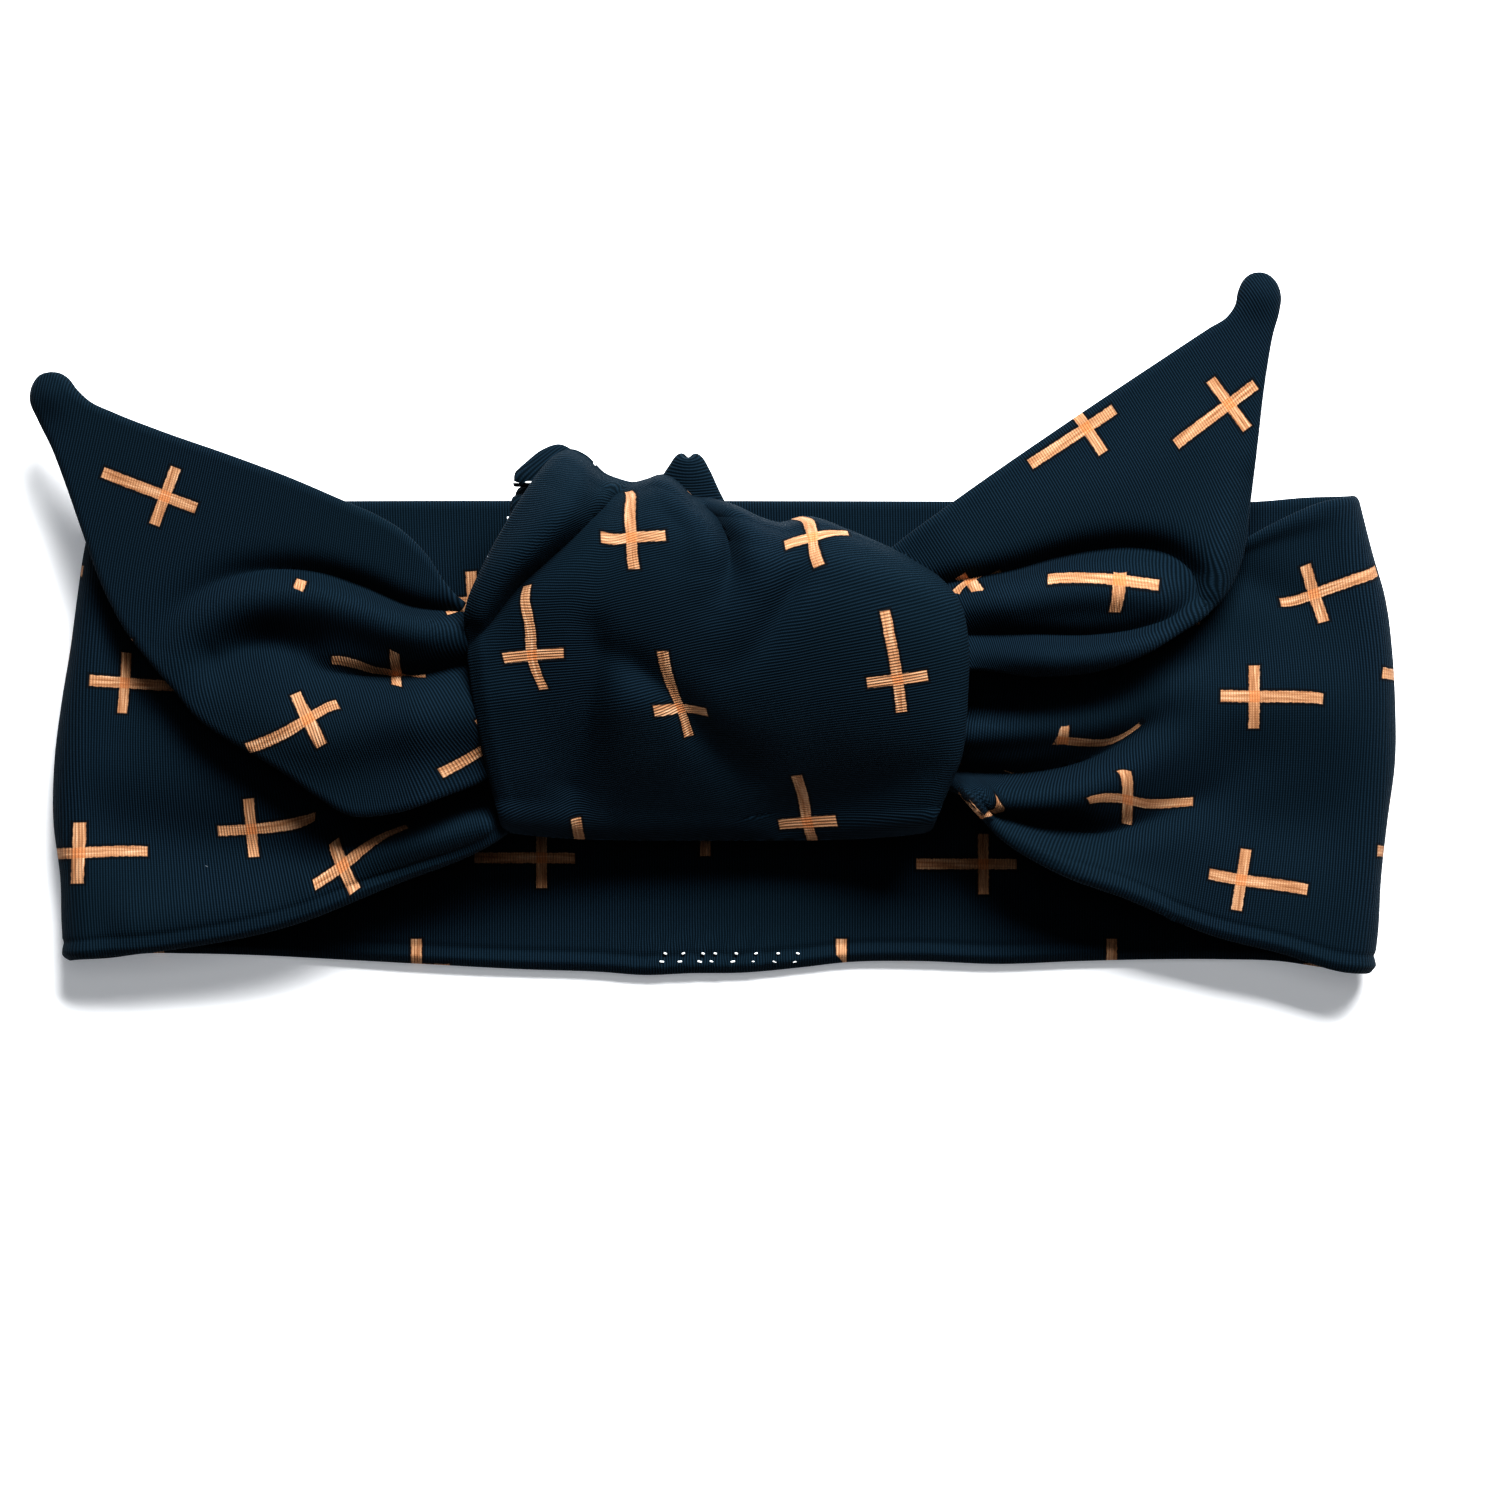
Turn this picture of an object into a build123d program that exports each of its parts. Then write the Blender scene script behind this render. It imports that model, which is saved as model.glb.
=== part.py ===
from build123d import *
import math
import os

# Knotted jersey headband with two pointed ears, lying flat on its back.
#
# One long strip of jersey, folded double and sewn along its lower edge, runs round the head and is tied
# in a single knot at the front. Its two pointed ends are left standing as ears. The loop is flattened:
# the back lies on the table, a soft fold closes each side, and the gathered front, the knot and the ears
# lie on top.
#
# Millimetres. The origin is the middle of the face that lies on the table. +X runs along the band, to
# the right of someone facing the knot, +Y is towards the crown of the head and +Z is up from the table.

# ---------------------------------------------------------------- driving sizes
flat_width = 230.0  # fold to fold across the flattened loop
band_height = 80.0  # height of the folded strip behind the head
leaf = 0.7  # one leaf of jersey
pocket = 1.0  # room between the two leaves, which holds the seam allowance
head_gap = 7.0  # free height inside the flattened loop

seam_allowance = 5.0  # width of the overlocked edges inside the strip
seam_clear = 0.05  # from the allowance to the leaves round it

gather_height = 34.0  # height of the strip where it enters the knot
gather_centre_y = -1.0
gather_thickness = 14.0  # its pleats stacked, where it enters the knot
gather_clear = 0.4  # from the gathered front to the side of the knot

knot_width = 84.0  # across the wrap, from ear to ear
knot_centre_x = -1.5  # the knot sits a little off the middle
knot_centre_y = 10.0
knot_height = 62.0  # along the outside of the wrap, forehead to crown
knot_rise = 27.0  # how far the knot stands up from the underside of the front
knot_clear = 0.1  # between pieces that are pressed together in the knot
crossing_slant = 20.0  # degrees, the surface on which the two strands cross

tuck_thickness = 6.0  # a folded corner behind the wrap
tuck_round = 2.5
tuck_foot = 14.0  # how far a tuck reaches in under the wrap

ear_rest_gap = 0.6  # from an ear to the gathered front that it lies on
ear_root_gap = 0.9  # from an ear's root to the side of the knot
ear_corner = 3.0  # rounding of an ear's corners
tip_radius = 3.8  # the rounded knob at an ear's point
roll_share = 0.42  # height of the roll along an ear, as a share of half its width

thread_radius = 0.25
stitch_length = 2.0
stitch_pitch = 2.8
turning_stitches = 10  # stitches that close the opening through which the strip was turned

# ---------------------------------------------------------------- worked-out sizes
ply = 2 * leaf + pocket  # thickness of the double strip
half_height = band_height / 2
fold_radius = ply + head_gap / 2  # outside radius of a side fold
fold_x = flat_width / 2 - fold_radius  # where a fold's bend starts
front_z = 2 * fold_radius  # top of the front where it leaves a fold
front_under_z = front_z - ply
gather_top_z = front_under_z + gather_thickness
gather_leaf = 0.36 * gather_thickness  # the pleats of one leaf, stacked
gather_rim = 2 * leaf

allowance_thickness = pocket - 2 * seam_clear
allowance_low_y = -half_height + leaf + seam_clear

knot_left_x = knot_centre_x - knot_width / 2
knot_right_x = knot_centre_x + knot_width / 2
knot_crown_y = knot_centre_y + knot_height / 2


def save(shape, name):
    """Label a finished piece and write it to its own file."""
    shape.label = name
    export_step(shape, f"parts/{name}.step")


os.makedirs("parts", exist_ok=True)


# ------------------------------------------------------------------ the strip's leaves
# The strip's two leaves meet along both edges and leave a pocket between them. Each leaf is given by the
# heights of its outside, its inside and the line where it meets the other leaf.
def tray(low_y, high_y, outside_z, inside_z, meeting_z, rim):
    """Section of a leaf: a plate with a rim along each edge."""
    Polygon(
        (low_y, outside_z),
        (high_y, outside_z),
        (high_y, meeting_z),
        (high_y - rim, meeting_z),
        (high_y - rim, inside_z),
        (low_y + rim, inside_z),
        (low_y + rim, meeting_z),
        (low_y, meeting_z),
        align=None,
    )


def allowance(low_y, low_z, thickness):
    """Section of the overlocked edges that lie in the pocket."""
    with Locations((low_y, low_z)):
        Rectangle(seam_allowance, thickness, align=(Align.MIN, Align.MIN))


back_leaves = {
    "outer": (0.0, leaf, ply / 2),
    "lining": (ply, ply - leaf, ply / 2),
}

# The back of the band, flat on the table.
for side, heights in back_leaves.items():
    with BuildPart() as back_leaf:
        with BuildSketch(Plane.YZ.offset(-fold_x)):
            tray(-half_height, half_height, *heights, leaf)
        extrude(amount=2 * fold_x)
    save(back_leaf.part, f"back_{side}_leaf")

# The side folds turn the same section half a turn, up and over to the front.
folds = {
    "left": (-fold_x, Axis((-fold_x, 0, fold_radius), (0, 1, 0))),
    "right": (fold_x, Axis((fold_x, 0, fold_radius), (0, -1, 0))),
}
for hand, (start_x, fold_axis) in folds.items():
    for side, heights in back_leaves.items():
        with BuildPart() as fold_leaf:
            with BuildSketch(Plane.YZ.offset(start_x)):
                tray(-half_height, half_height, *heights, leaf)
            revolve(axis=fold_axis, revolution_arc=180)
        save(fold_leaf.part, f"{hand}_fold_{side}_leaf")

# The seam's raw edges run inside the lower edge of the back and round both folds.
with BuildPart() as lower_seam:
    with BuildSketch(Plane.YZ.offset(-fold_x)):
        allowance(allowance_low_y, leaf + seam_clear, allowance_thickness)
    extrude(amount=2 * fold_x)
    for start_x, fold_axis in folds.values():
        with BuildSketch(Plane.YZ.offset(start_x)):
            allowance(allowance_low_y, leaf + seam_clear, allowance_thickness)
        revolve(axis=fold_axis, revolution_arc=180)
save(lower_seam.part, "lower_seam_allowance")

# Hand stitches close the opening in the lower edge, on the lining behind the knot.
with BuildPart() as turning_gap:
    with BuildSketch(Plane.XZ.offset(half_height - leaf)):
        with Locations((knot_centre_x, ply + thread_radius)):
            with GridLocations(stitch_pitch, 1, turning_stitches, 1):
                Circle(thread_radius)
    extrude(amount=-stitch_length)
save(turning_gap.part, "turning_gap_stitches")

# ------------------------------------------------------------------ the gathered front
# From each fold the strip narrows and thickens into pleats, which go into the knot.
gather_low_y = gather_centre_y - gather_height / 2
gather_high_y = gather_centre_y + gather_height / 2
gather_mid_z = front_under_z + gather_thickness / 2

front_leaves = {
    "outer": (
        (front_z, front_z - leaf, front_z - ply / 2),
        (gather_top_z, gather_top_z - gather_leaf, gather_mid_z),
    ),
    "lining": (
        (front_under_z, front_under_z + leaf, front_z - ply / 2),
        (front_under_z, front_under_z + gather_leaf, gather_mid_z),
    ),
}
front_ends = {
    "left": (-fold_x, knot_left_x - gather_clear),
    "right": (fold_x, knot_right_x + gather_clear),
}
for hand, (fold_end_x, knot_end_x) in front_ends.items():
    for side, (at_fold, at_knot) in front_leaves.items():
        with BuildPart() as front_leaf:
            with BuildSketch(Plane.YZ.offset(fold_end_x)):
                tray(-half_height, half_height, *at_fold, leaf)
            with BuildSketch(Plane.YZ.offset(knot_end_x)):
                tray(gather_low_y, gather_high_y, *at_knot, gather_rim)
            loft(ruled=True)
        save(front_leaf.part, f"{hand}_front_{side}_leaf")

    with BuildPart() as front_seam:
        with BuildSketch(Plane.YZ.offset(fold_end_x)):
            allowance(allowance_low_y, front_under_z + leaf + seam_clear, allowance_thickness)
        with BuildSketch(Plane.YZ.offset(knot_end_x)):
            allowance(
                gather_low_y + gather_rim + seam_clear,
                front_under_z + gather_leaf + seam_clear,
                gather_thickness - 2 * gather_leaf - 2 * seam_clear,
            )
        loft(ruled=True)
    save(front_seam.part, f"{hand}_front_seam_allowance")

# ------------------------------------------------------------------ the ears' planes
# An ear lies on the slope of the gathered front. Its plane starts in the middle of its root, and its
# own X runs away from the knot. The outline is (along, across), turning left from along.
ears = {
    "left": {
        "root": (knot_left_x - ear_root_gap, knot_centre_y - 4.5),
        "heading": 180.0,
        "slope_sign": -1,
        "outline": (
            (0.0, -17.0),
            (20.0, -33.5),
            (65.0, -51.0),
            (73.0, -51.0),
            (64.5, -26.0),
            (58.0, -13.0),
            (36.5, 9.5),
            (0.0, 17.0),
        ),
        "tip": (70.0, -52.4),
        "roll": ((12.0, 3.0, 9.0), (48.0, -11.0, 6.0)),
    },
    "right": {
        "root": (knot_right_x - 5.5, knot_centre_y + 14.0),
        "heading": 39.6,
        "slope_sign": 1,
        "outline": (
            (0.0, 10.8),
            (66.0, 3.6),
            (73.0, 5.0),
            (78.5, 0.0),
            (65.0, -12.0),
            (45.0, -30.0),
            (35.0, -35.5),
            (24.0, -32.5),
            (0.0, -11.7),
        ),
        "tip": (75.5, 2.8),
        "roll": ((14.0, -14.0, 6.0), (33.0, -28.0, 5.0)),
    },
}
front_slope = math.atan2(gather_top_z - front_z, fold_x + knot_left_x)
knot_side_z = gather_top_z + ear_rest_gap + ply / 2  # an ear's middle, at the side of the knot


def ear_plane(ear):
    """The middle plane of an ear."""
    root_x, root_y = ear["root"]
    side_x = knot_right_x if ear["slope_sign"] > 0 else knot_left_x
    inboard = ear["slope_sign"] * (side_x - root_x)
    heading = math.radians(ear["heading"])
    return Plane(
        origin=(root_x, root_y, knot_side_z + inboard * math.tan(front_slope)),
        x_dir=(
            math.cos(heading),
            math.sin(heading),
            -ear["slope_sign"] * math.cos(heading) * math.tan(front_slope),
        ),
        z_dir=(ear["slope_sign"] * math.sin(front_slope), 0, math.cos(front_slope)),
    )


# ------------------------------------------------------------------ the knot
# The wrap is a barrel along X with a level underside. Each station is (share of half the width, share of
# the height, share of the rise).
knot_stations = (
    (-1.0, 0.72, 0.68),
    (-0.5, 0.96, 0.93),
    (0.0, 1.0, 1.0),
    (0.5, 0.92, 0.93),
    (1.0, 0.66, 0.68),
)
right_mouth = ear_plane(ears["right"])
mouth_face = Plane(
    origin=right_mouth.origin - Vector(right_mouth.x_dir.X, right_mouth.x_dir.Y, 0) * ear_root_gap,
    z_dir=(right_mouth.x_dir.X, right_mouth.x_dir.Y, 0),
)


def barrel_sections(inset):
    """The sections of the knot's outside, taken in all round by inset."""
    sections = []
    for along, share_y, share_z in knot_stations:
        half_rise = share_z * knot_rise / 2
        with BuildSketch(Plane.YZ.offset(knot_centre_x + along * knot_width / 2)) as station:
            with Locations((knot_centre_y, front_under_z + half_rise)):
                Ellipse(share_y * knot_height / 2 - inset, half_rise - inset)
        sections.append(station.sketch)
    return sections


# The two leaves of the wrap are open sleeves, one inside the other. The right ear leaves through a mouth
# cut on the slant in the crown side.
wrap_leaves = {"outer": (0.0, leaf), "lining": (leaf + pocket, ply)}
for side, (outside, inside) in wrap_leaves.items():
    with BuildPart() as wrap_leaf:
        loft(sections=barrel_sections(outside))
        loft(sections=barrel_sections(inside), mode=Mode.SUBTRACT)
        split(bisect_by=mouth_face, keep=Keep.BOTTOM)
    save(wrap_leaf.part, f"knot_wrap_{side}_leaf")

# The two strands cross inside the wrap, one over the other.
crossing = Plane(
    origin=(knot_centre_x, knot_centre_y, front_under_z + knot_rise / 2),
    z_dir=(math.sin(math.radians(crossing_slant)), 0, math.cos(math.radians(crossing_slant))),
)
for hand, kept in (("left", Keep.TOP), ("right", Keep.BOTTOM)):
    with BuildPart() as strand:
        loft(sections=barrel_sections(ply + knot_clear))
        split(bisect_by=mouth_face, keep=Keep.BOTTOM)
        split(bisect_by=crossing, keep=kept)
    save(strand.part, f"knot_{hand}_strand")

# Two folded corners of the strip stand out behind the wrap on the crown side. Each is the x of its left
# foot, its point and its right foot, and how far the point stands above the crown.
tucks = {
    "left": (-37.0, -28.0, -15.0, 8.0),
    "right": (-14.0, -6.0, 6.0, 5.5),
}
for hand, (left_x, point_x, right_x, stand) in tucks.items():
    foot_y = knot_crown_y - tuck_foot
    with BuildPart() as tuck:
        with BuildSketch(Plane.XY.offset(front_under_z)):
            Polygon((left_x, foot_y), (right_x, foot_y), (point_x, knot_crown_y + stand), align=None)
            fillet(vertices().sort_by(Axis.Y)[-1], radius=tuck_round)
        extrude(amount=tuck_thickness)
        loft(sections=barrel_sections(-knot_clear), mode=Mode.SUBTRACT)
    save(tuck.part, f"knot_{hand}_tuck")

# Stitches of the strip's own seam, which show on the left tuck: (x, distance below the crown line).
seam_stitches = ((-32.5, 2.0), (-31.0, -1.5), (-29.5, -4.5))
with BuildPart() as knot_stitches:
    for x, below in seam_stitches:
        with BuildSketch(Plane.XZ.offset(below - knot_crown_y)):
            with Locations((x, front_under_z + tuck_thickness + thread_radius)):
                Circle(thread_radius)
        extrude(amount=stitch_length)
save(knot_stitches.part, "knot_seam_stitches")


# ------------------------------------------------------------------ the ears
def ear_outline(ear, inset=0.0):
    """The ear's outline with the knob at its point, taken in all round by inset."""
    Polygon(*ear["outline"], align=None)
    fillet([v for v in vertices() if v.X > ear_corner], radius=ear_corner)
    with Locations(ear["tip"]):
        Circle(tip_radius)
    if inset:
        offset(amount=-inset, mode=Mode.REPLACE)


for hand, ear in ears.items():
    middle = ear_plane(ear)

    # The front leaf carries the soft roll that the strip keeps from the knot.
    with BuildPart() as ear_front:
        with BuildSketch(middle):
            ear_outline(ear)
        extrude(amount=ply / 2)
        with BuildSketch(middle):
            ear_outline(ear, inset=leaf)
        extrude(amount=pocket / 2, mode=Mode.SUBTRACT)
        for along, across, half_width in ear["roll"]:
            section = Plane(
                origin=middle.from_local_coords(Vector(along, across, ply / 2)),
                x_dir=middle.y_dir,
                z_dir=middle.x_dir,
            )
            with BuildSketch(section):
                Ellipse(half_width, roll_share * half_width)
                split(bisect_by=Plane.XZ, keep=Keep.BOTTOM)
        loft()
    save(ear_front.part, f"{hand}_ear_front_leaf")

    with BuildPart() as ear_back:
        with BuildSketch(middle):
            ear_outline(ear)
        extrude(amount=-ply / 2)
        with BuildSketch(middle):
            ear_outline(ear, inset=leaf)
        extrude(amount=-pocket / 2, mode=Mode.SUBTRACT)
    save(ear_back.part, f"{hand}_ear_back_leaf")

    # The raw edges lie round the inside, and bunch up in the knob.
    with BuildPart() as ear_seam:
        with BuildSketch(middle.offset(-allowance_thickness / 2)):
            ear_outline(ear, inset=leaf + seam_clear)
        extrude(amount=allowance_thickness)
        with BuildSketch(middle.offset(-allowance_thickness / 2)):
            ear_outline(ear, inset=leaf + seam_clear + seam_allowance)
        extrude(amount=allowance_thickness, mode=Mode.SUBTRACT)
    save(ear_seam.part, f"{hand}_ear_seam_allowance")

    root = middle.offset(ply / 2).origin
    lift = -middle.y_dir
    print(f"{hand} ear hinge: through {tuple(root)} mm, axis {tuple(lift)}")
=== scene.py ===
import math

import bmesh
import bpy
import numpy as np
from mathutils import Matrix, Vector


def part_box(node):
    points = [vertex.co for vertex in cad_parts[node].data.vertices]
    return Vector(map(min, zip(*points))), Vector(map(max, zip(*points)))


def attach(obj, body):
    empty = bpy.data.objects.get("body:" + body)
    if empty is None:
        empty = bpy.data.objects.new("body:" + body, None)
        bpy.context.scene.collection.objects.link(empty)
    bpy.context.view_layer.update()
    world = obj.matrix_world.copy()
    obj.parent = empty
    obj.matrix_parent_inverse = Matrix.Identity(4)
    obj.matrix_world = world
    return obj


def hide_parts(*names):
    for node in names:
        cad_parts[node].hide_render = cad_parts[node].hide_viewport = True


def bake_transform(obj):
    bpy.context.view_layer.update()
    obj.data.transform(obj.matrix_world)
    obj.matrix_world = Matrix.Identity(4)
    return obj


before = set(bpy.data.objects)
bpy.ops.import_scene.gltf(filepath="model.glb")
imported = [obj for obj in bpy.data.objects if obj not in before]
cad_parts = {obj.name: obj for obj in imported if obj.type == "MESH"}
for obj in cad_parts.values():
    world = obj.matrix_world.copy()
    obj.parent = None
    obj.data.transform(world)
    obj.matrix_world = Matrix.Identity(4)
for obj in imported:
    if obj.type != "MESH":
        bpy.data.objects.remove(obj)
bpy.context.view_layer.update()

MM = 0.001  # the shapes below are worked out in millimetres


def node_box(node):
    """A CAD node's lowest and highest corners, in millimetres."""
    low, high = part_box(node)
    return [value / MM for value in low], [value / MM for value in high]


# ---------------------------------------------------------------- the printed jersey
# Fine rib-knit cotton jersey, dyed almost black navy and printed with small copper crosses in a half-drop
# repeat. Its ribs run across the strip. Each piece carries its flat place on the cloth in two UV maps, in
# metres: "cloth" for the print, and "ribs" for the knit, so both follow the folds.
PRINT_COLUMN = 22.3  # millimetres along the strip from one column of crosses to the next
PRINT_ROW = 32.5  # and across the strip from one cross to the next in a column
CROSS_STEM = 11.6  # crossing to the foot of a cross
CROSS_HEAD = 5.8  # crossing to its top
CROSS_MIDDLE = (CROSS_STEM - CROSS_HEAD) / 2


class Wire:
    """A socket in a material's nodes, so that sums on it read as sums."""

    def __init__(self, tree, socket=None):
        self.tree = tree
        self.socket = socket

    def node(self, kind, settings=None, inputs=None, output=0):
        made = self.tree.nodes.new(kind)
        for key, value in (settings or {}).items():
            if key == "stops":
                ramp = made.color_ramp
                while len(ramp.elements) < len(value):
                    ramp.elements.new(1.0)
                for element, (place, colour) in zip(ramp.elements, value):
                    element.position = place
                    element.color = colour
            else:
                setattr(made, key, value)
        for key, value in (inputs or {}).items():
            if isinstance(value, Wire):
                self.tree.links.new(value.socket, made.inputs[key])
            else:
                made.inputs[key].default_value = value
        return Wire(self.tree, made.outputs[output])

    def maths(self, operation, *values, clamp=False):
        settings = {"operation": operation, "use_clamp": clamp}
        return self.node("ShaderNodeMath", settings, dict(enumerate(values)))

    def __add__(self, other):
        return self.maths("ADD", self, other)

    __radd__ = __add__

    def __sub__(self, other):
        return self.maths("SUBTRACT", self, other)

    def __rsub__(self, other):
        return self.maths("SUBTRACT", other, self)

    def __mul__(self, other):
        return self.maths("MULTIPLY", self, other)

    __rmul__ = __mul__

    def __truediv__(self, other):
        return self.maths("DIVIDE", self, other)

    def __abs__(self):
        return self.maths("ABSOLUTE", self)

    def floor(self):
        return self.maths("FLOOR", self)

    def cosine(self):
        return self.maths("COSINE", self)

    def within(self, limit, soft):
        """1 where the value is under limit, fading to 0 over soft."""
        return self.maths("MULTIPLY", limit - self, 1 / soft, clamp=True)

    def either(self, other):
        return self.maths("MAXIMUM", self, other)

    def both(self, other):
        return self.maths("MINIMUM", self, other)

    def mixed(self, first, second):
        """A colour between first and second, by this value."""
        settings = {"data_type": "RGBA", "clamp_factor": True}
        return self.node("ShaderNodeMix", settings, {0: self, 6: first, 7: second}, output=2)


def new_material(name):
    """An empty material with its shader and its starting wire."""
    material = bpy.data.materials.new(name)
    material.use_nodes = True
    tree = material.node_tree
    shader = tree.nodes["Principled BSDF"]
    return material, shader, Wire(tree)


def join(wire, shader, socket):
    wire.tree.links.new(wire.socket, shader.inputs[socket])


def printed_jersey():
    arm = 5.3  # crossing to an arm's end
    bar = 1.0  # half the width of a bar
    edge = 0.16  # softness of the printed edge
    rib = 0.46  # rib to rib
    loop = 0.38  # one knitted loop to the next along a rib

    material, shader, wire = new_material("printed_jersey")
    cloth = wire.node("ShaderNodeUVMap", {"uv_map": "cloth"})
    place = wire.node("ShaderNodeSeparateXYZ", None, {0: cloth})
    along = place / MM
    across = Wire(wire.tree, place.socket.node.outputs[1]) / MM

    # The repeat: the cross in this cell, measured from its crossing.
    column = ((along - CROSS_MIDDLE) / PRINT_COLUMN + 0.5).floor()
    from_column = along - column * PRINT_COLUMN
    drop = wire.maths("FLOORED_MODULO", column, 2.0) * (PRINT_ROW / 2)
    row = ((across - drop) / PRINT_ROW + 0.5).floor()
    from_row = across - drop - row * PRINT_ROW

    # Hand-cut bars: their edges waver a little.
    waver = wire.node("ShaderNodeTexNoise", None, {"Vector": cloth, "Scale": 1400.0, "Detail": 2.0})
    width = bar + (waver - 0.5) * 0.35
    half_stem = (CROSS_STEM + CROSS_HEAD) / 2
    stem_along = abs(from_column - CROSS_MIDDLE)
    stem_mask = abs(from_row).within(width, edge).both(stem_along.within(half_stem, edge))
    arm_mask = abs(from_column).within(width, edge).both(abs(from_row).within(arm, edge))
    hidden = wire.node("ShaderNodeAttribute", {"attribute_name": "hidden"}, output=2)
    printed = stem_mask.either(arm_mask) * hidden.within(0.5, 0.08)
    rim = abs(from_row).within(bar + 0.45, edge).both(stem_along.within(half_stem + 0.4, edge))
    rim = rim.either(abs(from_column).within(bar + 0.45, edge).both(abs(from_row).within(arm + 0.4, edge)))

    # Wood-like streaks run along each bar, and the copper is redder at the crossing.
    streak_place = wire.node(
        "ShaderNodeCombineXYZ", None, {0: along * 0.16, 1: across * 2.1, 2: column + row * 3.1}
    )
    arm_place = wire.node(
        "ShaderNodeCombineXYZ", None, {0: along * 2.1, 1: across * 0.16, 2: column - row * 2.3}
    )
    stem_streak = wire.node("ShaderNodeTexNoise", None, {"Vector": streak_place, "Scale": 1.0, "Detail": 3.0})
    arm_streak = wire.node("ShaderNodeTexNoise", None, {"Vector": arm_place, "Scale": 1.0, "Detail": 3.0})
    streak = stem_mask * stem_streak + (1 - stem_mask) * arm_streak
    copper = streak.node(
        "ShaderNodeValToRGB",
        {
            "stops": (
                (0.28, (0.25, 0.125, 0.062, 1)),
                (0.45, (0.38, 0.212, 0.118, 1)),
                (0.58, (0.48, 0.290, 0.172, 1)),
                (0.74, (0.62, 0.435, 0.30, 1)),
            )
        },
        {0: streak},
    )
    crossing = stem_mask.both(arm_mask)
    copper = (crossing * 0.5).mixed(copper, (0.58, 0.21, 0.07, 1))

    # The knit: rounded ribs, with loops along them.
    knit_place = wire.node("ShaderNodeUVMap", {"uv_map": "ribs"})
    knit_place = wire.node("ShaderNodeSeparateXYZ", None, {0: knit_place})
    rib_along = knit_place / MM
    rib_across = Wire(wire.tree, knit_place.socket.node.outputs[1]) / MM
    ribs = (rib_along * (math.tau / rib)).cosine() * 0.5 + 0.5
    loops = (rib_across * (math.tau / loop) + ribs * 1.6).cosine() * 0.5 + 0.5
    knit = ribs * 0.75 + loops * ribs * 0.25
    cloudy = wire.node("ShaderNodeTexNoise", None, {"Vector": cloth, "Scale": 28.0, "Detail": 5.0})
    fuzz = wire.node("ShaderNodeTexNoise", None, {"Vector": cloth, "Scale": 2600.0, "Detail": 3.0})

    # Painted shade: the navy goes to near-black in the hollows between the ribs and loops, where the knit's own
    # shade falls; the fuzz adds random tone.
    navy = (knit * 1.35 + fuzz * 0.5 - 0.38).mixed((0.0007, 0.0040, 0.0074, 1), (0.0090, 0.0230, 0.0380, 1))
    navy = (cloudy * 0.9 - 0.25).mixed(navy, (0.0035, 0.0135, 0.0195, 1))
    lint = wire.node("ShaderNodeTexVoronoi", None, {"Vector": cloth, "Scale": 130.0})
    navy = (lint.within(0.028, 0.012) * 0.30).mixed(navy, (0.5, 0.55, 0.6, 1))
    navy = (rim * hidden.within(0.5, 0.08) * 0.6).mixed(navy, (0.004, 0.003, 0.003, 1))
    # Partly the print's own breakup over the knit, partly painted shade: the copper goes toward dark brown in the
    # hollows between the ribs; the fuzz adds random tone.
    ink_and_rib_shade = (0.55 + 0.45 * knit) * (0.82 + 0.36 * fuzz)
    ink_colour = (1 - ink_and_rib_shade).mixed(copper, (0.16, 0.055, 0.02, 1))
    colour = printed.mixed(navy, ink_colour)

    height = knit + fuzz * 0.25
    bump = wire.node(
        "ShaderNodeBump", None, {"Strength": 0.75, "Distance": 0.00014, "Height": height}
    )
    join(colour, shader, "Base Color")
    join(bump, shader, "Normal")
    join(0.86 - printed * 0.2, shader, "Roughness")
    shader.inputs["Specular IOR Level"].default_value = 0.08
    shader.inputs["Sheen Weight"].default_value = 0.02
    shader.inputs["Sheen Roughness"].default_value = 0.45
    shader.inputs["Sheen Tint"].default_value = (0.55, 0.75, 1.0, 1)
    return material


jersey = printed_jersey()


# ---------------------------------------------------------------- how a length of the strip is shaped
# The strip is a flat tube of jersey, with a fold along its upper edge and a seam along its lower one. A
# length of it is given by its middle surface, from which both leaves stand off by half the thickness.
def bend(f, run, a, b, slope_a, slope_b):
    """The smooth curve from a to b, at share f of a run that has the two slopes at its ends."""
    return (
        (2 * f**3 - 3 * f**2 + 1) * a
        + (f**3 - 2 * f**2 + f) * run * slope_a
        + (3 * f**2 - 2 * f**3) * b
        + (f**3 - f**2) * run * slope_b
    )


def along_path(points, share):
    """Smooth interpolation through points, at shares of the path's length."""
    points = np.array(points, float)
    lengths = np.concatenate([[0.0], np.cumsum(np.linalg.norm(np.diff(points, axis=0), axis=1))])
    place = np.clip(share, 0, 1) * lengths[-1]
    slopes = np.gradient(points, lengths, axis=0)
    index = np.clip(np.searchsorted(lengths, place, side="right") - 1, 0, len(points) - 2)
    run = lengths[index + 1] - lengths[index]
    f = ((place - lengths[index]) / run)[..., None]
    return bend(f, run[..., None], points[index], points[index + 1], slopes[index], slopes[index + 1])


def along_x(points, x):
    """The y of a smooth line through points, at x."""
    points = np.array(sorted(points), float)
    slopes = np.gradient(points[:, 1], points[:, 0])
    x = np.clip(x, points[0, 0], points[-1, 0])
    index = np.clip(np.searchsorted(points[:, 0], x, side="right") - 1, 0, len(points) - 2)
    run = points[index + 1, 0] - points[index, 0]
    f = (x - points[index, 0]) / run
    return bend(f, run, points[index, 1], points[index + 1, 1], slopes[index], slopes[index + 1])


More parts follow.
